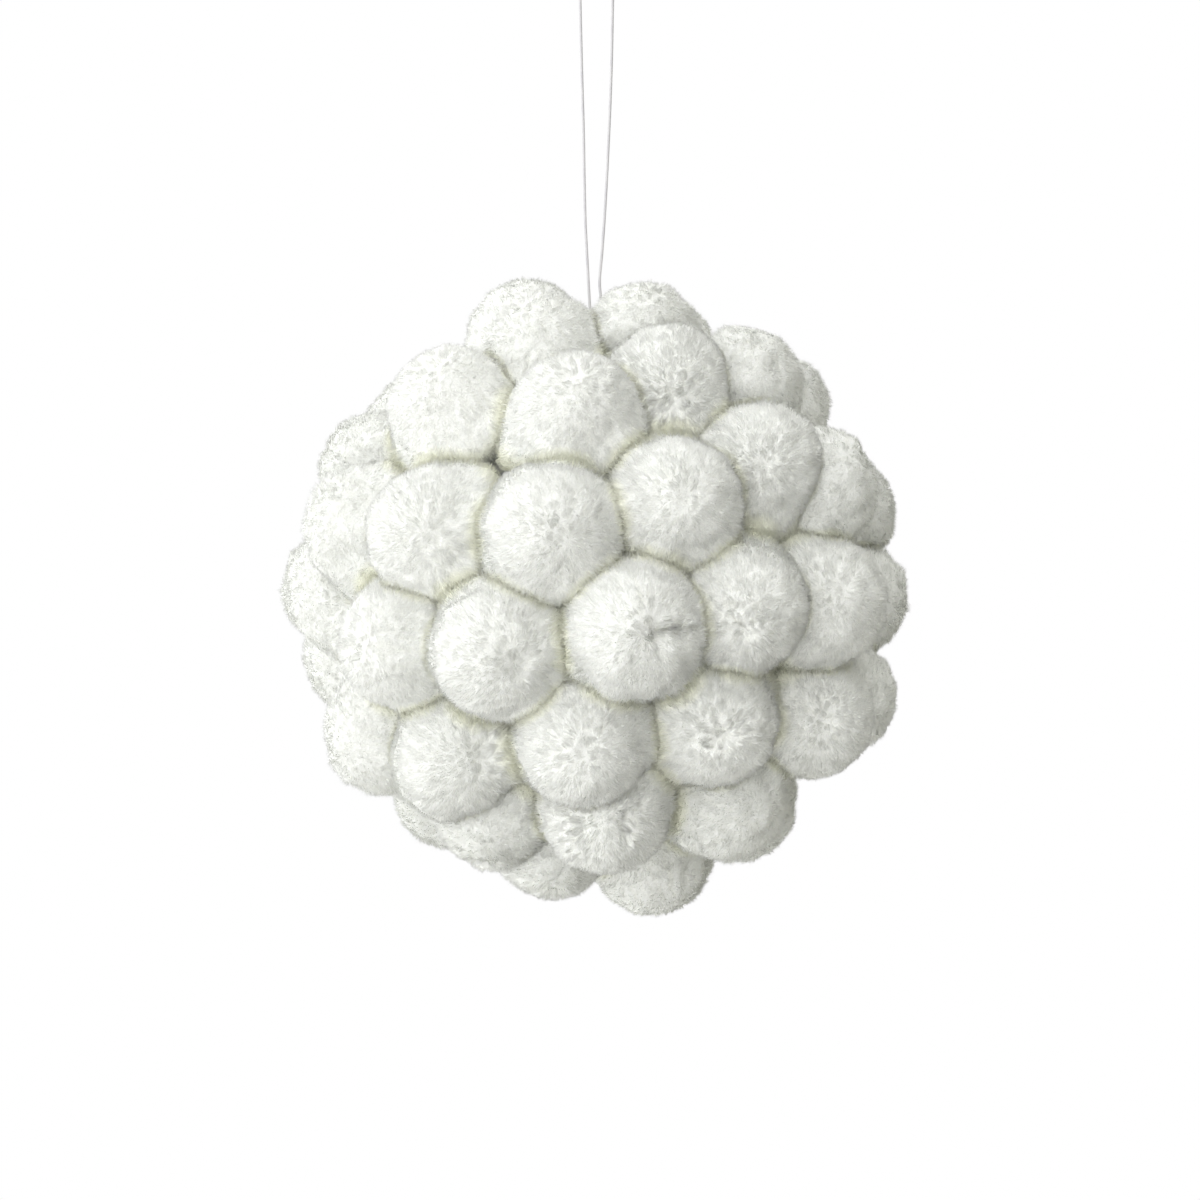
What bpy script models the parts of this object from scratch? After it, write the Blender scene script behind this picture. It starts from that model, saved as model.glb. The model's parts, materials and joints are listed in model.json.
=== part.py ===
"""A hanging ball of white yarn pompoms on a foam core, with its hanging thread, in metres, +Z up, origin at the
top of the hanging loop. Azimuth 0 looks along +Y."""

import math

import bmesh
import bpy
import numpy as np
from mathutils import Vector

# The ball
BALL_DROP = 0.183  # from the top of the hanging loop down to the ball's centre
CORE_RADIUS = 0.050
CORE_ROUNDS = 4  # subdivisions of the foam core's icosphere

# The pompoms
POMPOM_RADIUS = 0.0145  # the firm radius of most of them
POMPOM_SQUASH = 0.005  # how much of a pompom's round is pressed flat on the core
SIDE_SPREAD = 0.0003  # how far the loose yarn ends reach sideways past it, at a pompom's middle
ROOT_SPREAD = 0.0095  # how much further they spread low down, into the gaps between pompoms
ROOT_DEPTH = 0.30  # where they are fully spread, as the sine of the angle below a pompom's middle
POMPOM_CUTS = 4  # cuts along each side of the cube that a pompom is rounded from
ROUNDNESS = 12  # higher gives flatter faces with tighter edges where pompoms press together
SEAM = 0.0003  # gap between two pompoms, and between a pompom and the core
THREAD_CHANNEL = 0.0028  # half width kept free for the thread at the top of the ball

# The pompoms that show from the front: longitude and latitude of the centre in degrees, with longitude 0 facing
# the viewer and positive to the right, then its firm radius and how far it stands off, as shares of POMPOM_RADIUS
FRONT_POMPOMS = (
    (-27, 66, 1.00, 0.07),
    (-6, 43, 1.00, 0.00),
    (27, 54, 1.00, 0.00),
    (46, 30, 1.00, 0.00),
    (19, 21, 0.97, 0.00),
    (-10, 14, 1.03, 0.00),
    (-40, 14, 1.00, 0.00),
    (-50, 45, 1.04, 0.00),
    (34, -2, 0.97, 0.00),
    (57, -1, 1.03, 0.03),
    (94, 0, 1.00, 0.00),
    (8, -7, 1.03, 0.07),
    (-22, -11, 1.03, 0.00),
    (-48, -10, 1.00, 0.00),
    (-109, -13, 1.03, 0.07),
    (-90, 2, 1.00, 0.03),
    (-68, 16, 1.00, 0.00),
    (-84, 30, 0.97, 0.03),
    (-108, 42, 0.97, 0.00),
    (-3, -33, 1.00, 0.00),
    (31, -29, 0.94, 0.00),
    (63, -26, 0.97, 0.17),
    (86, -22, 0.90, 0.28),
    (62, 24, 1.00, 0.14),
    (99, 19, 1.00, 0.10),
    (58, 51, 0.97, 0.24),
    (104, 47, 1.00, 0.17),
    (29, 70, 0.97, 0.24),
    (-119, 73, 1.00, 0.34),
    (-41, -37, 1.03, 0.00),
    (-70, -31, 0.97, 0.14),
    (-40, -53, 1.00, 0.00),
    (3, -52, 1.03, 0.00),
    (49, -50, 1.00, 0.00),
    (110, -54, 1.00, 0.07),
    (-29, -69, 0.93, 0.10),
    (68, -77, 0.97, 0.21),
    (-94, -53, 0.90, 0.00),
)

# The pompoms that fill the back, spread evenly over what the others leave free
BACK_POMPOMS = 18
BACK_RADIUS = 0.0150
TRIED_PLACES = 1600
SPREADING_ROUNDS = 160

# The wire pin that holds the thread: a straight shank in the core with a ring at its top
PIN_WIRE = 0.0008
PIN_RING_RADIUS = 0.0016
PIN_DEPTH = 0.022
PIN_CLEARANCE = 0.0003  # round the shank, and under the ring
RING_STEPS = 12
RING_END = -105  # where the ring's wire stops short of the shank, in degrees

# The hanging thread, and its knot
THREAD_DIAMETER = 0.0007
THREAD_SIDES = 2  # bevel resolution
THREAD_STEPS = 2  # points for each span of the route
KNOT_RADIUS = 0.0011
KNOT_PLACE = (0.0015, 0.0, 0.0620)

# The route of the thread from above the knot, up over the loop and down to the ring, as millimetres right of and
# above the ball's centre
THREAD_ROUTE = (
    (1.5, 63.4),
    (1.3, 68.0),
    (0.6, 74.5),
    (1.2, 82.0),
    (2.0, 94.0),
    (2.9, 112.0),
    (3.4, 126.0),
    (3.7, 141.0),
    (4.1, 156.0),
    (4.2, 168.0),
    (3.9, 175.0),
    (3.0, 180.0),
    (1.6, 182.5),
    (0.0, 183.0),
    (-1.6, 182.5),
    (-3.0, 180.0),
    (-4.0, 175.0),
    (-4.4, 168.0),
    (-4.3, 156.0),
    (-4.0, 141.0),
    (-3.6, 124.0),
    (-3.2, 110.0),
    (-3.0, 98.0),
    (-2.7, 87.0),
    (-2.0, 74.0),
    (-1.6, 66.0),
    (-1.5, 58.0),
    (-1.4, 54.4),
    (-1.0, 53.3),
    (0.0, 52.85),
    (1.0, 53.3),
    (1.4, 54.4),
    (1.5, 57.5),
    (1.5, 60.6),
)


def clear_scene():
    for obj in list(bpy.data.objects):
        bpy.data.objects.remove(obj, do_unlink=True)


def new_collection(name, is_cutter=False):
    collection = bpy.data.collections.new(name)
    collection.hide_render = is_cutter
    bpy.context.scene.collection.children.link(collection)
    return collection


def plain_material(name, colour, roughness, metallic=0.0):
    material = bpy.data.materials.new(name)
    material.use_nodes = True
    shader = material.node_tree.nodes["Principled BSDF"]
    shader.inputs["Base Color"].default_value = (*colour, 1.0)
    shader.inputs["Roughness"].default_value = roughness
    shader.inputs["Metallic"].default_value = metallic
    material.diffuse_color = (*colour, 1.0)
    return material


def mesh_object(name, bm, collection, material=None, smooth=False):
    mesh = bpy.data.meshes.new(name)
    bm.to_mesh(mesh)
    bm.free()
    for face in mesh.polygons:
        face.use_smooth = smooth
    obj = bpy.data.objects.new(name, mesh)
    if material:
        mesh.materials.append(material)
    collection.objects.link(obj)
    return obj


def direction(longitude, latitude):
    """The unit vector at a longitude and latitude in degrees, with longitude 0 towards the viewer at -Y."""
    lon, lat = math.radians(longitude), math.radians(latitude)
    return np.array((math.sin(lon) * math.cos(lat), -math.cos(lon) * math.cos(lat), math.sin(lat)))


def centre_distance(radius, stand_off=0.0):
    return CORE_RADIUS + SEAM + radius - POMPOM_SQUASH + stand_off


def spiral_places(count):
    """Directions spread evenly round the whole ball along a golden spiral."""
    turn = math.pi * (3 - math.sqrt(5))
    heights = 1 - 2 * (np.arange(count) + 0.5) / count
    widths = np.sqrt(1 - heights**2)
    turns = turn * np.arange(count)
    return np.stack((widths * np.cos(turns), widths * np.sin(turns), heights), axis=1)


def spread_over_the_back(front, count):
    """Directions for count more pompoms: each starts in the widest free place, then all push apart."""
    tried = spiral_places(TRIED_PLACES)
    taken = np.array(front)
    for _ in range(count):
        nearest = (tried @ taken.T).max(axis=1)
        taken = np.vstack((taken, tried[nearest.argmin()]))
    for _ in range(SPREADING_ROUNDS):
        for i in range(len(front), len(taken)):
            away = taken[i] - taken
            gaps = np.linalg.norm(away, axis=1)
            gaps[i] = 1.0
            push = (away / gaps[:, None] ** 8).sum(axis=0)
            push -= taken[i] * (push @ taken[i])
            push *= 0.004 / max(np.linalg.norm(push), 1.0)
            taken[i] = (taken[i] + push) / np.linalg.norm(taken[i] + push)
    return taken[len(front) :]


def pompom_places():
    """Every pompom's centre from the ball's centre, and its firm radius, in metres."""
    places, radii, front = [], [], []
    for longitude, latitude, size, stand_off in FRONT_POMPOMS:
        radius = size * POMPOM_RADIUS
        front.append(direction(longitude, latitude))
        places.append(front[-1] * centre_distance(radius, stand_off * POMPOM_RADIUS))
        radii.append(radius)
    for place in spread_over_the_back(front, BACK_POMPOMS):
        places.append(place * centre_distance(BACK_RADIUS))
        radii.append(BACK_RADIUS)
    return np.array(places), np.array(radii)


def side_reach(radius, rise):
    """How far the yarn reaches sideways in a direction with this rise, which is -1 straight down to the core."""
    return radius + SIDE_SPREAD + ROOT_SPREAD * min(max(-rise / ROOT_DEPTH, 0.0), 1.0)


def pressing_planes(index, places, radii):
    """The flats that press on one pompom, each as a unit direction and its distance from the pompom's centre."""
    centre, radius = places[index], radii[index] + SIDE_SPREAD
    widest = side_reach(radii[index], -1.0)
    planes = []
    to_core = -centre / np.linalg.norm(centre)
    planes.append((to_core, np.linalg.norm(centre) - CORE_RADIUS - SEAM))
    for other, place in enumerate(places):
        across = place - centre
        gap = np.linalg.norm(across)
        other_radius = radii[other] + SIDE_SPREAD
        if other == index or gap > widest + side_reach(radii[other], -1.0):
            continue
        share = (gap**2 + radius**2 - other_radius**2) / (2 * gap)
        planes.append((across / gap, share - SEAM / 2))
    to_axis = np.array((-centre[0], -centre[1], 0.0))
    width = np.linalg.norm(to_axis)
    if centre[2] > 0 and width - THREAD_CHANNEL < widest:
        planes.append((to_axis / width, width - THREAD_CHANNEL))
    return planes


def pompom(name, index, places, radii, parent, collection, material):
    """A ball of yarn, pressed flat on the core and against its neighbours, with rounded edges between the flats."""
    planes = pressing_planes(index, places, radii)
    up = places[index] / np.linalg.norm(places[index])
    bm = bmesh.new()
    bmesh.ops.create_cube(bm, size=2.0)
    bmesh.ops.subdivide_edges(bm, edges=bm.edges[:], cuts=POMPOM_CUTS, use_grid_fill=True)
    for vertex in bm.verts:
        outward = np.array([math.tan(part * math.pi / 4) for part in vertex.co])
        outward /= np.linalg.norm(outward)
        rise = float(up @ outward)
        width = side_reach(radii[index], rise)
        pressed = math.hypot(rise / radii[index], math.sqrt(max(1 - rise**2, 0.0)) / width) ** ROUNDNESS
        for across, reach in planes:
            pressed += max(float(across @ outward), 0.0) ** ROUNDNESS / reach**ROUNDNESS
        vertex.co = Vector(outward * pressed ** (-1 / ROUNDNESS))
    bmesh.ops.delete(bm, geom=bm.faces[:], context="FACES_ONLY")
    bmesh.ops.delete(bm, geom=bm.edges[:], context="EDGES_FACES")
    bmesh.ops.convex_hull(bm, input=bm.verts[:])
    bmesh.ops.recalc_face_normals(bm, faces=bm.faces[:])
    obj = mesh_object(name, bm, collection, material, smooth=True)
    obj.parent = parent
    obj.location = Vector(places[index])
    return obj


def foam_core(parent, collection, cutters, material):
    """The foam ball, with the pin's hole from its top."""
    bm = bmesh.new()
    bmesh.ops.create_icosphere(bm, subdivisions=CORE_ROUNDS, radius=CORE_RADIUS)
    core = mesh_object("foam_core", bm, collection, material, smooth=True)
    core.parent = parent
    bm = bmesh.new()
    depth = PIN_DEPTH + PIN_CLEARANCE
    above = CORE_RADIUS / 2
    hole_radius = PIN_WIRE / 2 + PIN_CLEARANCE
    bmesh.ops.create_cone(
        bm,
        cap_ends=True,
        segments=16,
        radius1=hole_radius,
        radius2=hole_radius,
        depth=depth + above,
    )
    hole = mesh_object("pin_hole", bm, cutters)
    hole.display_type = "WIRE"
    hole.hide_render = True
    hole.parent = parent
    hole.location = (0.0, -PIN_RING_RADIUS, CORE_RADIUS + (above - depth) / 2)
    cut = core.modifiers.new("Pin hole", "BOOLEAN")
    cut.operation = "DIFFERENCE"
    cut.solver = "EXACT"
    cut.object = hole
    return core


def wire_along(name, points, diameter, parent, collection, material):
    """A round wire with closed ends through these points."""
    curve = bpy.data.curves.new(name, "CURVE")
    curve.dimensions = "3D"
    curve.bevel_depth = diameter / 2
    curve.bevel_resolution = THREAD_SIDES
    curve.use_fill_caps = True
    spline = curve.splines.new("POLY")
    spline.points.add(len(points) - 1)
    for spot, place in zip(spline.points, points):
        spot.co = (*place, 1.0)
    curve.materials.append(material)
    obj = bpy.data.objects.new(name, curve)
    obj.parent = parent
    collection.objects.link(obj)
    return obj


def ring_height():
    """The height of the pin's ring above the ball's centre."""
    return CORE_RADIUS + PIN_CLEARANCE + PIN_WIRE / 2 + PIN_RING_RADIUS


def pin_points():
    """The shank from its tip up, then round the ring."""
    height = ring_height()
    points = [(0.0, -PIN_RING_RADIUS, CORE_RADIUS - PIN_DEPTH)]
    for step in range(RING_STEPS + 1):
        angle = math.radians(180 + (RING_END - 180) * step / RING_STEPS)
        points.append((0.0, PIN_RING_RADIUS * math.cos(angle), height + PIN_RING_RADIUS * math.sin(angle)))
    return points


def smooth_through(route, steps):
    """Points on a smooth curve through the route, steps of them for each span."""
    ends = [2 * route[0] - route[1], *route, 2 * route[-1] - route[-2]]
    points = []
    for before, start, end, after in zip(ends, ends[1:], ends[2:], ends[3:]):
        for step in range(steps):
            t = step / steps
            bend = (2 * before - 5 * start + 4 * end - after) * t * t
            turn = (3 * start - before - 3 * end + after) * t**3
            points.append(start + ((end - before) * t + bend + turn) / 2)
    points.append(route[-1])
    return points


def thread_points():
    route = [Vector((across / 1000, 0.0, up / 1000)) for across, up in THREAD_ROUTE]
    return smooth_through(route, THREAD_STEPS)


def thread_knot(parent, collection, material):
    bm = bmesh.new()
    bmesh.ops.create_icosphere(bm, subdivisions=2, radius=KNOT_RADIUS)
    knot = mesh_object("thread_knot", bm, collection, material, smooth=True)
    knot.parent = parent
    knot.location = KNOT_PLACE
    return knot


def build():
    clear_scene()
    parts = new_collection("pompom_ball_ornament")
    cutters = new_collection("cutters", is_cutter=True)
    yarn = plain_material("white_yarn", (0.84, 0.84, 0.81), 0.95)
    foam = plain_material("white_foam", (0.88, 0.88, 0.87), 0.7)
    wire = plain_material("pin_wire", (0.55, 0.55, 0.56), 0.3, metallic=1.0)
    thread = plain_material("pale_thread", (0.66, 0.65, 0.68), 0.5)
    centre = bpy.data.objects.new("ball_centre", None)
    centre.location = (0.0, 0.0, -BALL_DROP)
    parts.objects.link(centre)
    foam_core(centre, parts, cutters, foam)
    wire_along("hanger_pin", pin_points(), PIN_WIRE, centre, parts, wire)
    wire_along("hang_thread", thread_points(), THREAD_DIAMETER, centre, parts, thread)
    thread_knot(centre, parts, thread)
    places, radii = pompom_places()
    for index in range(len(places)):
        pompom(f"pompom_{index + 1:02d}", index, places, radii, centre, parts, yarn)


build()
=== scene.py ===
# %% [markdown]
# # Hanging ball of yarn pompoms
# A foam ball covered in fluffy white yarn pompoms, hung on a thin clear thread. The imported model gives the place,
# size and rough shape of every piece. This script gives each pompom its pile of cut yarn, adds the thread, its knot,
# the light and the camera, and gives the foam core and the wire pin their materials.

# %% Load the frame
import json
import math

import bmesh
import bpy
import numpy as np
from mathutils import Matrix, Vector
from mathutils.bvhtree import BVHTree

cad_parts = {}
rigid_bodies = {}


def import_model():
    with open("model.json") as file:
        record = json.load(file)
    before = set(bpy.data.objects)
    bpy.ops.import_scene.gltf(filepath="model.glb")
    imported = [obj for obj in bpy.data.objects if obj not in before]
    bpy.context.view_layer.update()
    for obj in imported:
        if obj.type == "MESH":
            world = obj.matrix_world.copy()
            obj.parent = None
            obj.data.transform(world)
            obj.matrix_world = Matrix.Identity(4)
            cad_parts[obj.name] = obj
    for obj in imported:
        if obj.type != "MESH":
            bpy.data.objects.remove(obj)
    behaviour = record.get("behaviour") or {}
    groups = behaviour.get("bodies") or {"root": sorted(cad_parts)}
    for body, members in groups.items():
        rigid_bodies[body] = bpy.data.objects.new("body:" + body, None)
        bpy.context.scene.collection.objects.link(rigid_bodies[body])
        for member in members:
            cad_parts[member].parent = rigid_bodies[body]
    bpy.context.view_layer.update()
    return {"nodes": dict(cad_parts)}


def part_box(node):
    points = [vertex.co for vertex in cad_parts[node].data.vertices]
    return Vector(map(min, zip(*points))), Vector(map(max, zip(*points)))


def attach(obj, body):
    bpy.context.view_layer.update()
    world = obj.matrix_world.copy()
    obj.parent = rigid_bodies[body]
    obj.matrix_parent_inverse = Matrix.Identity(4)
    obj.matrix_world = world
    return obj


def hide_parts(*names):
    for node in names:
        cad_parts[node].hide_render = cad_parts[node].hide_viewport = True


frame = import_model()
pompom_names = sorted(name for name in frame["nodes"] if name.startswith("pompom_"))
core_low, core_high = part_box("foam_core")
ball_centre = np.array((core_low + core_high) / 2)
core_radius = (core_high.z - core_low.z) / 2
print(len(pompom_names), "pompoms round", ball_centre.round(4), "core radius", round(core_radius, 4))

# %% [markdown]
# ## Camera
# The photograph looks at the ball from its own height, from far enough away that it hardly widens towards the edge.

# %% Camera
camera_data = bpy.data.cameras.new("camera")
camera_data.lens = 100
camera_data.sensor_width = 36
camera = bpy.data.objects.new("camera", camera_data)
camera.location = (0.0007, ball_centre[1] - 0.788, ball_centre[2] - 0.0005)
camera.rotation_euler = (math.radians(90), 0, 0)
bpy.context.scene.collection.objects.link(camera)
bpy.context.scene.camera = camera

# %% [markdown]
# ## Materials
# The yarn is white. Its colour also carries painted light. A yellower white low in the pile and in the hollows
# between ridges stands in for shade among the fibres. A brighter yellow-olive white in the gaps between pompoms
# stands in for light bounced between them. Each strand keeps one tone from root to tip, so the tone comes from the
# direction out of the pompom's middle, which is where its object's origin sits.


# %% Helpers for materials
def new_material(name, roughness, colour=(0.8, 0.8, 0.8)):
    material = bpy.data.materials.new(name)
    material.use_nodes = True
    shader = material.node_tree.nodes["Principled BSDF"]
    shader.inputs["Roughness"].default_value = roughness
    shader.inputs["Base Color"].default_value = (*colour, 1)
    return material, material.node_tree, shader


def add_node(tree, kind, **settings):
    node = tree.nodes.new(kind)
    for key, value in settings.items():
        setattr(node, key, value)
    return node


def add_noise(tree, vector, scale, detail=2.0):
    noise = add_node(tree, "ShaderNodeTexNoise")
    noise.inputs["Scale"].default_value = scale
    noise.inputs["Detail"].default_value = detail
    tree.links.new(vector, noise.inputs["Vector"])
    return noise.outputs["Fac"]


def add_range(tree, value, low, high, to_low, to_high):
    node = add_node(tree, "ShaderNodeMapRange")
    for name, number in zip(("From Min", "From Max", "To Min", "To Max"), (low, high, to_low, to_high)):
        node.inputs[name].default_value = number
    tree.links.new(value, node.inputs["Value"])
    return node.outputs["Result"]


def add_mix(tree, amount, first, second, blend="MIX"):
    node = add_node(tree, "ShaderNodeMix", data_type="RGBA", blend_type=blend)
    sockets = (node.inputs[0], node.inputs[6], node.inputs[7])
    for socket, value in zip(sockets, (amount, first, second)):
        if isinstance(value, bpy.types.NodeSocket):
            tree.links.new(value, socket)
        elif isinstance(value, tuple):
            socket.default_value = (*value, 1)
        else:
            socket.default_value = value
    return node.outputs[2]


# %% White yarn
YARN_TIP = (0.93, 0.938, 0.915)
# Painted shade: a yellower white for the low pile and the hollows between ridges, where shade falls among the fibres.
YARN_ROOT_PAINTED_SHADE = (0.93, 0.938, 0.88)
# Painted bounce light: a brighter, yellow-olive white for the gaps between pompoms, standing in for light bounced
# between them.
YARN_GAP_PAINTED_BOUNCE = (0.955, 0.96, 0.83)
yarn, tree, shader = new_material("white_yarn", 0.9)
place = add_node(tree, "ShaderNodeTexCoord").outputs["Object"]
outward = add_node(tree, "ShaderNodeVectorMath", operation="NORMALIZE")
tree.links.new(place, outward.inputs[0])
# Painted shade: lower in the pile the colour turns towards the yellower root white.
painted_shade_depth = add_node(tree, "ShaderNodeAttribute", attribute_name="pile_height_painted_shade").outputs["Fac"]
yarn_painted_light = add_mix(tree, add_range(tree, painted_shade_depth, 0.0, 0.7, 0.0, 1.0), YARN_ROOT_PAINTED_SHADE, YARN_TIP)
# Painted bounce light: near a gap between pompoms the colour turns towards the brighter yellow-olive white.
gap = add_node(tree, "ShaderNodeAttribute", attribute_name="near_a_gap").outputs["Fac"]
yarn_painted_light = add_mix(tree, add_range(tree, gap, 0.2, 1.0, 0.0, 0.9), yarn_painted_light, YARN_GAP_PAINTED_BOUNCE)
strand_tone = add_range(tree, add_noise(tree, outward.outputs[0], 42.0), 0.3, 0.7, 0.92, 1.03)
strand_tone_node = add_node(tree, "ShaderNodeCombineColor")
for channel in ("Red", "Green", "Blue"):
    tree.links.new(strand_tone, strand_tone_node.inputs[channel])
colour = add_mix(tree, 1.0, yarn_painted_light, strand_tone_node.outputs[0], "MULTIPLY")
tree.links.new(colour, shader.inputs["Base Color"])
shader.inputs["Specular IOR Level"].default_value = 0.15
shader.subsurface_method = "BURLEY"
shader.inputs["Subsurface Weight"].default_value = 0.85
shader.inputs["Subsurface Radius"].default_value = (1.0, 1.0, 1.0)
shader.inputs["Subsurface Scale"].default_value = 0.0002
shader.inputs["Sheen Weight"].default_value = 0.15
shader.inputs["Sheen Roughness"].default_value = 0.5
grain = add_node(tree, "ShaderNodeBump")
grain.inputs["Strength"].default_value = 0.35
grain.inputs["Distance"].default_value = 0.0004
tree.links.new(add_noise(tree, place, 1500.0, 3.0), grain.inputs["Height"])
tree.links.new(grain.outputs["Normal"], shader.inputs["Normal"])
print("material", yarn.name)

# %% [markdown]
# ## Pompoms
# Each pompom starts as a finely divided ball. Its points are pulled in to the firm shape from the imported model,
# which is pressed flat on the core and against its neighbours. Yarn strands then stand out of that surface.

# %% A finely divided unit ball
ball = bmesh.new()
bmesh.ops.create_icosphere(ball, subdivisions=5, radius=1.0)
unit_points = np.array([v.co for v in ball.verts])
unit_points /= np.linalg.norm(unit_points, axis=1)[:, None]
unit_faces = np.array([[v.index for v in f.verts] for f in ball.faces])
beside = np.array([([e.other_vert(v).index for e in v.link_edges] * 2)[:6] for v in ball.verts])
ball.free()
print(len(unit_points), "points,", len(unit_faces), "faces")


def softened(values, rounds):
    """The values after each point has moved towards its neighbours' mean this many times."""
    for _ in range(rounds):
        values = 0.4 * values + 0.6 * values[beside].mean(axis=1)
    return values


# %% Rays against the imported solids
def shape_of(name):
    mesh = frame["nodes"][name].data
    return [v.co.copy() for v in mesh.vertices], [tuple(p.vertices) for p in mesh.polygons]


def joined(shapes):
    points, faces = [], []
    for some_points, some_faces in shapes:
        faces += [tuple(i + len(points) for i in face) for face in some_faces]
        points += some_points
    return BVHTree.FromPolygons(points, faces)


def reach(tree, centre, directions, starts, furthest):
    """How far each ray from the centre gets before it meets the solids, counted from its start."""
    found = np.full(len(directions), furthest)
    for i, direction in enumerate(directions):
        ray = Vector(direction)
        hit = tree.ray_cast(Vector(centre) + ray * float(starts[i]), ray, furthest)
        if hit[0] is not None:
            found[i] = hit[3]
    return found


shapes = {name: shape_of(name) for name in [*pompom_names, "foam_core"]}
all_solids = joined(shapes.values())
centres = np.array([np.mean([np.array(p) for p in shapes[name][0]], axis=0) for name in pompom_names])
print("solids ready for", len(shapes), "nodes")

# %% [markdown]
# Cut yarn is combed outwards from a crown, where a pompom was tied or has parted. Fine ridges run out from the crown,
# and short strands lean the same way out of the surface. Near a dimple the ridges break up into coarse tufts.

# %% Sizes of the pile
PILE = 0.0006
RIDGE = 0.00006
GRAIN = 0.00005
STRANDS = 13000
STRAND_WIDTH = 0.00026
STRAND_LENGTH = 0.0013
FUZZ_SHARE = 0.20
FUZZ_WIDTH = 0.00016
TUFTS = 520
TUFT_PULL = 0.25
TUFT_LIFT = 0.00012
GAP_VIEW = 0.0075
DEEP_GAP_VIEW = 0.008
GAP_TOP = 0.067
GAP_CLOSED = 0.45
GAP_OVERLAP = 0.0008


# %% Smooth noise over a ball
def ripples(points, seed, size, count=24):
    """A sum of waves of about this size, near -1 to 1, that gives the same value each run."""
    random = np.random.default_rng(seed)
    waves = random.normal(size=(count, 3))
    waves *= (2 * math.pi / size) * random.uniform(0.6, 1.4, count)[:, None] / np.linalg.norm(waves, axis=1)[:, None]
    return np.sin(points @ waves.T + random.uniform(0, 2 * math.pi, count)).sum(axis=1) / math.sqrt(count / 2)


def across_from(axis):
    """Two directions square to the axis and to each other."""
    first = np.cross(axis, (0.0, 0.0, 1.0) if abs(axis[2]) < 0.9 else (1.0, 0.0, 0.0))
    first /= np.linalg.norm(first)
    return first, np.cross(axis, first)


def combed_ridges(points, crown, seed, count=26):
    """Waves that run out from the crown like the spokes of a wheel, fading at the crown itself."""
    random = np.random.default_rng(seed)
    first, second = across_from(crown)
    turn = np.arctan2(points @ second, points @ first)
    from_crown = np.arccos(np.clip(points @ crown, -1, 1))
    spokes = random.integers(14, 56, count)
    total = np.zeros(len(points))
    for number in spokes:
        total += np.sin(number * turn + random.uniform(2, 9) * from_crown + random.uniform(0, 2 * math.pi))
    return total / math.sqrt(count / 2) * np.clip(np.sin(from_crown) / 0.35, 0, 1)


# %% Dimples and partings
# Where each one lies on its pompom, seen from the front: right and up from the pompom's middle, as a share of its
# radius, then its length in millimetres, the way it runs in degrees, its width and depth in millimetres, and how many
# times wider it opens below than above. The first of each pompom's rows is its crown.
HAND_PLACED = {
    12: [(0.25, 0.02, 0.5, 0, 2.2, 1.0, 1.0), (0.62, 0.06, 8.0, 8, 1.0, 2.6, 5.0)],
    21: [(0.05, -0.12, 1.0, 40, 2.2, 2.2, 1.0), (0.20, -0.05, 2.5, 60, 1.4, 1.4, 2.0)],
    20: [(0.05, -0.10, 4.0, 10, 2.0, 0.9, 2.0)],
    9: [(-0.05, -0.45, 4.0, 80, 2.2, 1.4, 1.0)],
    6: [(0.30, -0.15, 3.0, 30, 2.2, 1.0, 1.0)],
    13: [(0.40, -0.25, 3.0, 60, 2.2, 1.1, 1.0)],
    30: [(0.45, 0.0, 4.0, 70, 2.2, 1.2, 1.0)],
    7: [(0.05, -0.05, 2.0, 0, 2.6, 0.9, 1.0)],
    5: [(0.05, 0.0, 1.0, 90, 2.6, 0.6, 1.0)],
    33: [(-0.05, -0.10, 1.0, 0, 2.2, 0.6, 1.0), (-0.45, -0.35, 6.0, 75, 1.6, 1.8, 1.0), (0.3, -0.2, 5.0, 100, 1.6, 1.5, 1.0)],
    10: [(0.30, 0.25, 1.0, 90, 2.4, 0.6, 1.0)],
    22: [(0.20, -0.05, 3.0, 100, 2.0, 1.2, 1.0)],
    3: [(0.10, -0.25, 3.0, 20, 2.2, 1.0, 1.0)],
    4: [(0.05, -0.10, 1.0, 20, 2.4, 0.7, 1.0)],
}


def dimples_of(number, out):
    """Each dimple as its two ends, half width, depth and how much wider it opens below, in unit directions."""
    rows = []
    if number in HAND_PLACED:
        for right, up, length, turn, width, deep, opening in HAND_PLACED[number]:
            middle = np.array((right, -math.sqrt(max(1 - right**2 - up**2, 0.05)), up))
            run = np.array((math.cos(math.radians(turn)), 0.0, math.sin(math.radians(turn))))
            rows.append((middle, run, length, width, deep, opening))
    else:
        random = np.random.default_rng(500 + number)
        middle = out + random.normal(0, 0.22, 3)
        rows.append((middle, random.normal(size=3), random.uniform(0, 4), 2.4, random.uniform(0.5, 1.3), 1.0))
    found = []
    for middle, run, length, width, deep, opening in rows:
        middle = middle / np.linalg.norm(middle)
        run = run - middle * (run @ middle)
        run /= np.linalg.norm(run)
        half = run * (length / 2 / 15.0)
        found.append((middle - half, middle + half, width / 15.0, deep / 1000, opening))
    return found


def dent_at(points, start, end, width, opening):
    """How deep a dimple is at each point, from 0 to 1, and the same with three times the width."""
    line = end - start
    along = np.clip((points - start) @ line / max(line @ line, 1e-9), 0, 1)
    away = points - (start + along[:, None] * line)
    far = np.linalg.norm(away, axis=1)
    below = np.cross(start + end, line) if opening > 1 else np.zeros(3)
    if below[2] > 0:
        below = -below
    spread = np.where(away @ below > 0, width * opening, width)
    return np.exp(-((far / spread) ** 2)), np.exp(-((far / (3 * width)) ** 2))


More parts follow.
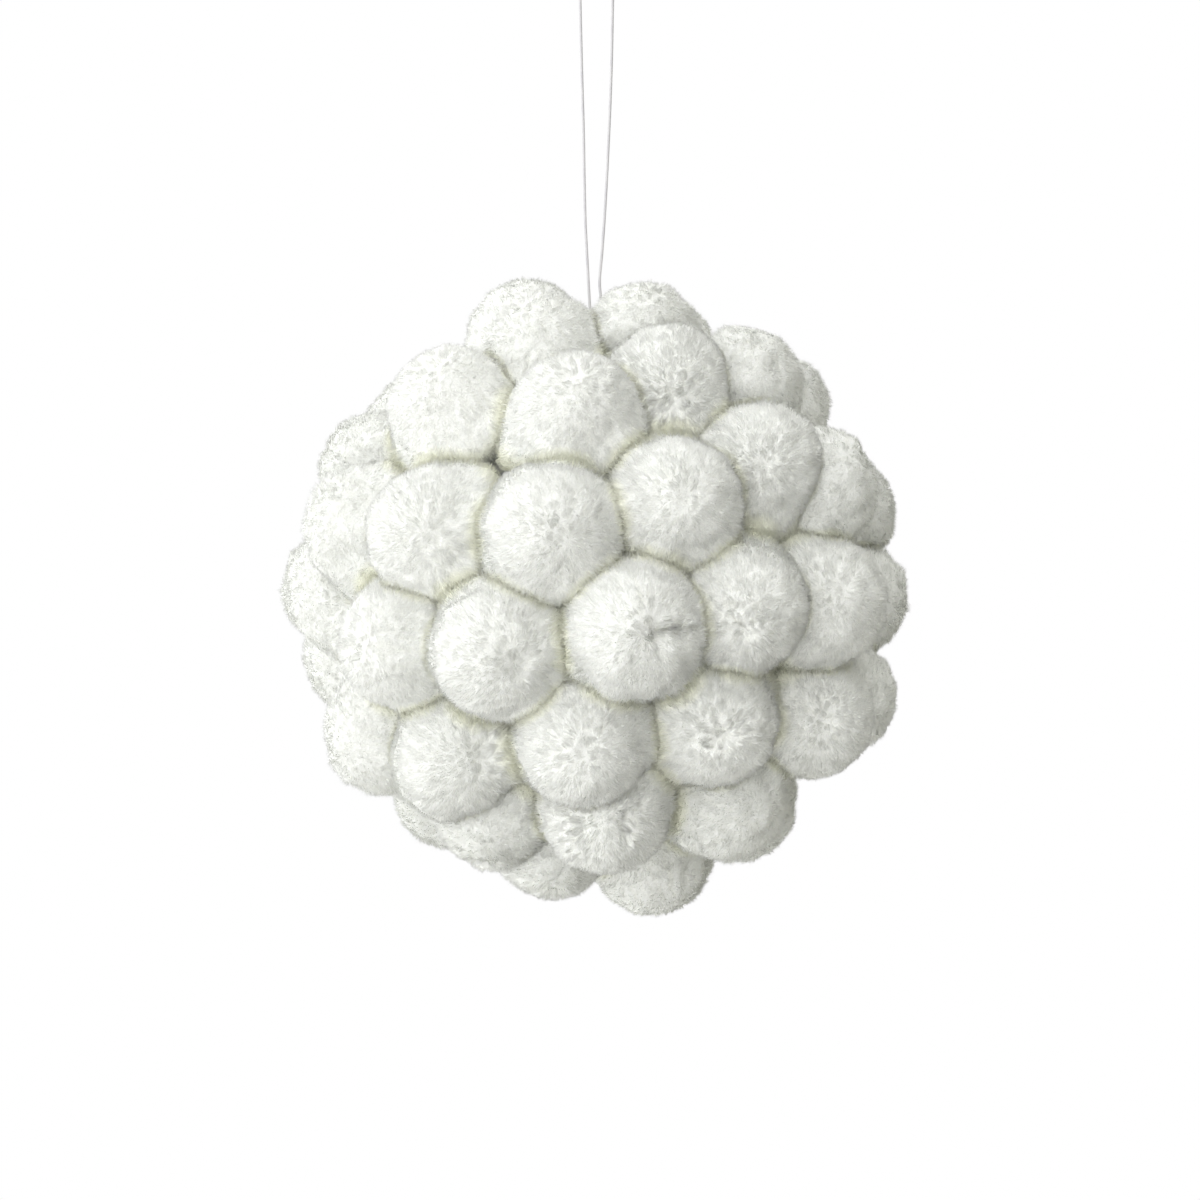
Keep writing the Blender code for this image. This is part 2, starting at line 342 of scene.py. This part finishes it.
# %% The firm shape of one pompom
def firm_shape(index):
    """Radius of the surface in each unit direction, and how open each point is to the outside."""
    centre = centres[index]
    radius = reach(joined([shapes[pompom_names[index]]]), centre, unit_points, np.zeros(len(unit_points)), 0.05)
    free = reach(all_solids, centre, unit_points, radius + 0.0001, GAP_VIEW + DEEP_GAP_VIEW)
    height = np.linalg.norm(centre + unit_points * radius[:, None] - ball_centre, axis=1)
    view = GAP_VIEW + DEEP_GAP_VIEW * np.clip((GAP_TOP - height) / 0.007, 0, 1)
    closed = view * GAP_CLOSED
    half = np.sqrt(np.maximum(free - closed, 0) * view**2 / (4 * (view - closed)))
    filled = np.maximum(free / 2 - half, 0) * (free < view) + GAP_OVERLAP * (free < closed)
    radius = softened(radius + filled, 10)
    height = np.linalg.norm(centre + unit_points * radius[:, None] - ball_centre, axis=1)
    openness = np.clip((free - 0.0003) / 0.0006, 0, 1) * np.clip((height - 0.0515) / 0.002, 0, 1)
    gap = softened(np.clip((1.1 * view - free) / (1.1 * view - closed), 0, 1), 2)
    return radius, softened(openness, 3), gap


def unit(vectors):
    return vectors / np.linalg.norm(vectors, axis=1)[:, None]


def point_normals(points, faces):
    sides = np.cross(points[faces[:, 1]] - points[faces[:, 0]], points[faces[:, 2]] - points[faces[:, 0]])
    normals = np.zeros_like(points)
    for corner in range(3):
        np.add.at(normals, faces[:, corner], sides)
    return unit(normals)


# %% The pile of one pompom
def pile_of(index, radius, openness, gap):
    """Points, faces, normals, heights in the pile and nearness to a gap, around the pompom's middle."""
    random = np.random.default_rng(1000 + index)
    out = centres[index] - ball_centre
    out = out / np.linalg.norm(out)
    dimples = dimples_of(index + 1, out)
    crown = dimples[0][0] + dimples[0][1]
    crown = crown / np.linalg.norm(crown)
    roots = radius - PILE + 0.00025 * ripples(unit_points, 40 + index, 0.5) * openness
    rough = np.zeros(len(unit_points))
    for start, end, width, deep, opening in dimples:
        dent, near = dent_at(unit_points, start, end, width, opening)
        roots = roots - deep * dent
        rough = np.maximum(rough, near * min(deep / 0.0012, 1.5))
    ridges = combed_ridges(unit_points, crown, 80 + index)
    roots = roots + RIDGE * ridges * (1 + 2.5 * rough)
    roots = roots + GRAIN * ripples(unit_points, 120 + index, 0.11) * (1 + 2.0 * rough)
    roots = roots + 0.5 * GRAIN * random.normal(size=len(roots))
    points = unit_points * roots[:, None]
    normals = point_normals(points, unit_faces)

    corners = points[unit_faces]
    areas = np.linalg.norm(np.cross(corners[:, 1] - corners[:, 0], corners[:, 2] - corners[:, 0]), axis=1) / 2
    bare = openness[unit_faces].max(axis=1)
    weights = areas * openness[unit_faces].mean(axis=1)
    grown_on = random.choice(len(unit_faces), size=STRANDS, p=weights / weights.sum())
    mix = random.dirichlet((1, 1, 1), STRANDS)
    trio = unit_faces[grown_on]

    def across(values):
        return (values[trio] * mix.reshape(STRANDS, 3, *([1] * (values.ndim - 1)))).sum(axis=1)

    root = across(points)
    normal = unit(across(normals))
    way = unit(root)
    coarse = across(rough)
    combed = way - crown * (way @ crown)[:, None]
    combed -= way * (combed * way).sum(axis=1)[:, None]
    stray = random.normal(0, 1, (STRANDS, 3)) * (0.55 - 0.25 * np.clip(coarse, 0, 1))[:, None]
    combed = unit(combed + 1e-6) + stray
    combed = unit(combed - way * (combed * way).sum(axis=1)[:, None])
    fuzz = random.random(STRANDS) < FUZZ_SHARE
    tilt = np.where(fuzz, random.uniform(0.0, 0.5, STRANDS), random.uniform(0.45, 1.15, STRANDS))
    tilt *= 1 - 0.4 * across(gap)
    lean = way * np.cos(tilt)[:, None] + combed * np.sin(tilt)[:, None]
    tall = STRAND_LENGTH * random.uniform(0.6, 1.2, STRANDS) * (1 + 0.4 * coarse + 0.5 * across(gap))
    tip = root + lean * tall[:, None]

    tuft_ways = unit(random.normal(size=(TUFTS, 3)))
    tuft = (way @ tuft_ways.T).argmax(axis=1)
    members = np.maximum(np.bincount(tuft, minlength=TUFTS), 1)
    tuft_tips = np.stack([np.bincount(tuft, tip[:, k], TUFTS) for k in range(3)], axis=1) / members[:, None]
    pull = TUFT_PULL + 0.4 * np.clip(coarse, 0, 1)
    lift = random.normal(0, TUFT_LIFT, TUFTS)[tuft] * (1 + 1.5 * coarse)
    tip += pull[:, None] * (tuft_tips[tuft] - tip) + way * lift[:, None]
    lean = unit(tip - root)
    foot = root - lean * 0.0002
    turn = unit(np.cross(lean, way) + random.normal(0, 0.2, (STRANDS, 3)))
    turn -= lean * (turn * lean).sum(axis=1)[:, None]
    flat = unit(np.cross(lean, turn))
    facing = np.where((flat * way).sum(axis=1) < 0, -1.0, 1.0)[:, None]
    flat *= facing
    turn *= -facing * (np.where(fuzz, FUZZ_WIDTH, STRAND_WIDTH) / 2)[:, None]
    strands = np.stack((foot - turn, foot + turn, tip), axis=1).reshape(-1, 3)
    upright = 1 - np.abs((flat * way).sum(axis=1))
    sheer = np.clip(0.55 + 0.3 * coarse + 0.45 * upright, 0, 1)[:, None]
    soft = unit((1 - sheer) * normal + sheer * flat + 0.10 * random.normal(size=(STRANDS, 3)))
    kept = unit_faces[bare > 0.01]
    used, renumbered = np.unique(kept, return_inverse=True)
    renumbered = renumbered.reshape(kept.shape)
    all_points = np.vstack((points[used], strands))
    all_faces = np.vstack((renumbered, np.arange(STRANDS * 3).reshape(-1, 3) + len(used)))
    all_normals = np.vstack((normals[used], np.repeat(soft, 3, axis=0)))
    # Painted shade and bounce light: the hollows between ridges and the lower part of each strand get more of the
    # yellower root white, with a random shift per strand. Nearness to a gap brings in the yellow-olive gap white.
    dips = np.clip(0.6 + 0.12 * ridges[used] * (1 + rough[used]), 0, 1)
    tone = np.repeat(random.uniform(-0.25, 0.25, STRANDS), 3)
    heights = np.concatenate((dips, np.tile((0.35, 0.35, 0.9), STRANDS) + tone))
    near_gap = np.concatenate((gap[used], np.repeat(across(gap), 3)))
    return all_points, all_faces, all_normals, heights, near_gap


def mesh_from(name, points, faces, material):
    mesh = bpy.data.meshes.new(name)
    mesh.vertices.add(len(points))
    mesh.vertices.foreach_set("co", np.asarray(points, np.float32).ravel())
    mesh.loops.add(faces.size)
    mesh.loops.foreach_set("vertex_index", np.asarray(faces, np.int32).ravel())
    mesh.polygons.add(len(faces))
    mesh.polygons.foreach_set("loop_start", np.arange(0, faces.size, faces.shape[1], dtype=np.int32))
    mesh.update(calc_edges=True)
    mesh.polygons.foreach_set("use_smooth", np.ones(len(faces), bool))
    mesh.materials.append(material)
    return mesh


# %% Make every pompom
for index, name in enumerate(pompom_names):
    points, faces, normals, heights, near_gap = pile_of(index, *firm_shape(index))
    mesh = mesh_from("yarn_" + name, points, faces, yarn)
    mesh.normals_split_custom_set_from_vertices(normals.tolist())
    for layer_name, values in (("pile_height_painted_shade", heights), ("near_a_gap", near_gap)):
        layer = mesh.attributes.new(layer_name, "FLOAT", "POINT")
        layer.data.foreach_set("value", values.astype(np.float32))
    piece = bpy.data.objects.new("yarn_" + name, mesh)
    piece.location = centres[index]
    bpy.context.scene.collection.objects.link(piece)
    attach(piece, "root")
    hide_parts(name)
total = sum(len(o.data.polygons) for o in bpy.data.objects if o.name.startswith("yarn_"))
print(len(pompom_names), "pompoms of", total, "faces in all")

# %% [markdown]
# ## Thread, knot and pin
# The thread runs from the knot up the right strand, over the loop and down the left strand, then under the crown of
# the pin's ring and back up to the knot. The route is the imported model's own, in millimetres right of and above the
# ball's middle.

# %% The thread's route
THREAD_ROUTE = (
    (1.5, 63.4),
    (1.3, 68.0),
    (0.6, 74.5),
    (1.2, 82.0),
    (2.0, 94.0),
    (2.9, 112.0),
    (3.4, 126.0),
    (3.7, 141.0),
    (4.1, 156.0),
    (4.2, 168.0),
    (3.9, 175.0),
    (3.0, 180.0),
    (1.6, 182.5),
    (0.0, 183.0),
    (-1.6, 182.5),
    (-3.0, 180.0),
    (-4.0, 175.0),
    (-4.4, 168.0),
    (-4.3, 156.0),
    (-4.0, 141.0),
    (-3.6, 124.0),
    (-3.2, 110.0),
    (-3.0, 98.0),
    (-2.7, 87.0),
    (-2.0, 74.0),
    (-1.6, 66.0),
    (-1.5, 58.0),
    (-1.4, 54.4),
    (-1.0, 53.3),
    (0.0, 52.85),
    (1.0, 53.3),
    (1.4, 54.4),
    (1.5, 57.5),
    (1.5, 60.6),
)
route = [Vector((x / 1000, 0.0, z / 1000)) + Vector(ball_centre) for x, z in THREAD_ROUTE]


def smooth_through(route, steps):
    ends = [2 * route[0] - route[1], *route, 2 * route[-1] - route[-2]]
    points = []
    for before, start, end, after in zip(ends, ends[1:], ends[2:], ends[3:]):
        for step in range(steps):
            t = step / steps
            bend = (2 * before - 5 * start + 4 * end - after) * t * t
            turn = (3 * start - before - 3 * end + after) * t**3
            points.append(start + ((end - before) * t + bend + turn) / 2)
    points.append(route[-1])
    return points


thread_line = smooth_through(route, 6)

# %% Thread material
clear_thread, tree, shader = new_material("clear_thread", 0.3)
place = add_node(tree, "ShaderNodeTexCoord").outputs["Object"]
streaks = add_range(tree, add_noise(tree, place, 260.0, 3.0), 0.3, 0.7, 0.0, 1.0)
tree.links.new(add_mix(tree, streaks, (0.60, 0.59, 0.62), (0.72, 0.71, 0.72)), shader.inputs["Base Color"])
shader.inputs["Specular IOR Level"].default_value = 0.4

# %% Thread
THREAD_DIAMETER = 0.0007
line = bpy.data.curves.new("thread", "CURVE")
line.dimensions = "3D"
line.bevel_depth = THREAD_DIAMETER / 2
line.bevel_resolution = 3
line.use_fill_caps = True
spline = line.splines.new("POLY")
spline.points.add(len(thread_line) - 1)
for spot, where in zip(spline.points, thread_line):
    spot.co = (*where, 1)
line.materials.append(clear_thread)
thread = bpy.data.objects.new("thread", line)
bpy.context.scene.collection.objects.link(thread)
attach(thread, "root")
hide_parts("hang_thread")

# %% Knot
knot_low, knot_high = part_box("thread_knot")
knot_middle = (knot_low + knot_high) / 2
knot_size = (knot_high.z - knot_low.z) / 2
turns = []
for step in range(97):
    angle = 2 * math.pi * step / 96
    swell = knot_size * 0.42 * (1 + 0.5 * math.cos(3 * angle))
    turns.append(
        knot_middle
        + Vector(
            (
                swell * math.cos(2 * angle),
                swell * math.sin(2 * angle),
                knot_size * 0.55 * math.sin(3 * angle),
            )
        )
    )
knot_line = bpy.data.curves.new("knot", "CURVE")
knot_line.dimensions = "3D"
knot_line.bevel_depth = THREAD_DIAMETER / 2
knot_line.bevel_resolution = 3
spline = knot_line.splines.new("POLY")
spline.points.add(len(turns) - 2)
for spot, where in zip(spline.points, turns):
    spot.co = (*where, 1)
spline.use_cyclic_u = True
knot_line.materials.append(clear_thread)
knot = bpy.data.objects.new("knot", knot_line)
bpy.context.scene.collection.objects.link(knot)
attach(knot, "root")
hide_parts("thread_knot")

# %% Foam core and steel pin
foam, tree, shader = new_material("white_foam", 0.65)
place = add_node(tree, "ShaderNodeTexCoord").outputs["Object"]
beads = add_node(tree, "ShaderNodeTexVoronoi", feature="F1")
beads.inputs["Scale"].default_value = 420.0
tree.links.new(place, beads.inputs["Vector"])
edges = add_range(tree, beads.outputs["Distance"], 0.2, 0.75, 0.0, 1.0)
tree.links.new(add_mix(tree, edges, (0.88, 0.88, 0.87), (0.76, 0.76, 0.74)), shader.inputs["Base Color"])
dents = add_node(tree, "ShaderNodeBump", invert=True)
dents.inputs["Strength"].default_value = 0.5
dents.inputs["Distance"].default_value = 0.0004
tree.links.new(beads.outputs["Distance"], dents.inputs["Height"])
tree.links.new(dents.outputs["Normal"], shader.inputs["Normal"])
steel, tree, shader = new_material("pin_steel", 0.3)
shader.inputs["Metallic"].default_value = 1.0
place = add_node(tree, "ShaderNodeTexCoord").outputs["Object"]
drawn = add_range(tree, add_noise(tree, place, 900.0, 2.0), 0.3, 0.7, 0.0, 1.0)
tree.links.new(add_mix(tree, drawn, (0.50, 0.50, 0.51), (0.62, 0.62, 0.63)), shader.inputs["Base Color"])
for name, material in (("foam_core", foam), ("hanger_pin", steel)):
    frame["nodes"][name].data.materials.clear()
    frame["nodes"][name].data.materials.append(material)
print("core and pin carry", foam.name, "and", steel.name)

# %% [markdown]
# ## Light
# A soft white studio: a surround that is bright from the upper left and from behind and dim and yellowish from the
# right, with a broad light from the upper left in front, so that the left side of the ball is almost as bright as the
# background and the right side is a little grey. The background seen straight on is plain white.

# %% Surround
world = bpy.data.worlds.new("studio")
bpy.context.scene.world = world
world.use_nodes = True
tree = world.node_tree
tree.nodes.clear()
output = add_node(tree, "ShaderNodeOutputWorld")
seen = add_node(tree, "ShaderNodeBackground")
seen.inputs["Color"].default_value = (1, 1, 1, 1)
seen.inputs["Strength"].default_value = 1.0
around = add_node(tree, "ShaderNodeBackground")
towards = add_node(tree, "ShaderNodeTexCoord").outputs["Generated"]
slope = add_node(tree, "ShaderNodeVectorMath", operation="DOT_PRODUCT")
slope.inputs[1].default_value = (-0.88, -0.22, 0.40)
tree.links.new(towards, slope.inputs[0])
from_left = add_range(tree, slope.outputs["Value"], -0.62, 0.18, 0.09, 1.36)
behind = add_node(tree, "ShaderNodeSeparateXYZ")
tree.links.new(towards, behind.inputs[0])
from_behind = add_range(tree, behind.outputs["Y"], 0.15, 0.75, 0.0, 1.22)
brighter = add_node(tree, "ShaderNodeMath", operation="MAXIMUM")
tree.links.new(from_left, brighter.inputs[0])
tree.links.new(from_behind, brighter.inputs[1])
tree.links.new(brighter.outputs[0], around.inputs["Strength"])
side = add_range(tree, slope.outputs["Value"], -0.8, 0.2, 0.0, 1.0)
tree.links.new(add_mix(tree, side, (1.0, 0.99, 0.84), (1.0, 1.0, 1.0)), around.inputs["Color"])
rays = add_node(tree, "ShaderNodeLightPath")
choose = add_node(tree, "ShaderNodeMixShader")
tree.links.new(rays.outputs["Is Camera Ray"], choose.inputs[0])
tree.links.new(around.outputs[0], choose.inputs[1])
tree.links.new(seen.outputs[0], choose.inputs[2])
tree.links.new(choose.outputs[0], output.inputs["Surface"])


# %% Lamps
def softbox(name, place, watts, size):
    lamp = bpy.data.lights.new(name, "AREA")
    lamp.shape = "DISK"
    lamp.size = size
    lamp.energy = watts
    holder = bpy.data.objects.new(name, lamp)
    holder.location = Vector(ball_centre) + Vector(place)
    holder.rotation_euler = (-Vector(place)).to_track_quat("-Z", "Y").to_euler()
    bpy.context.scene.collection.objects.link(holder)
    return holder


softbox("key", (-1.36, -0.40, 0.30), 1.0, 1.8)
bpy.context.scene.view_settings.view_transform = "Standard"
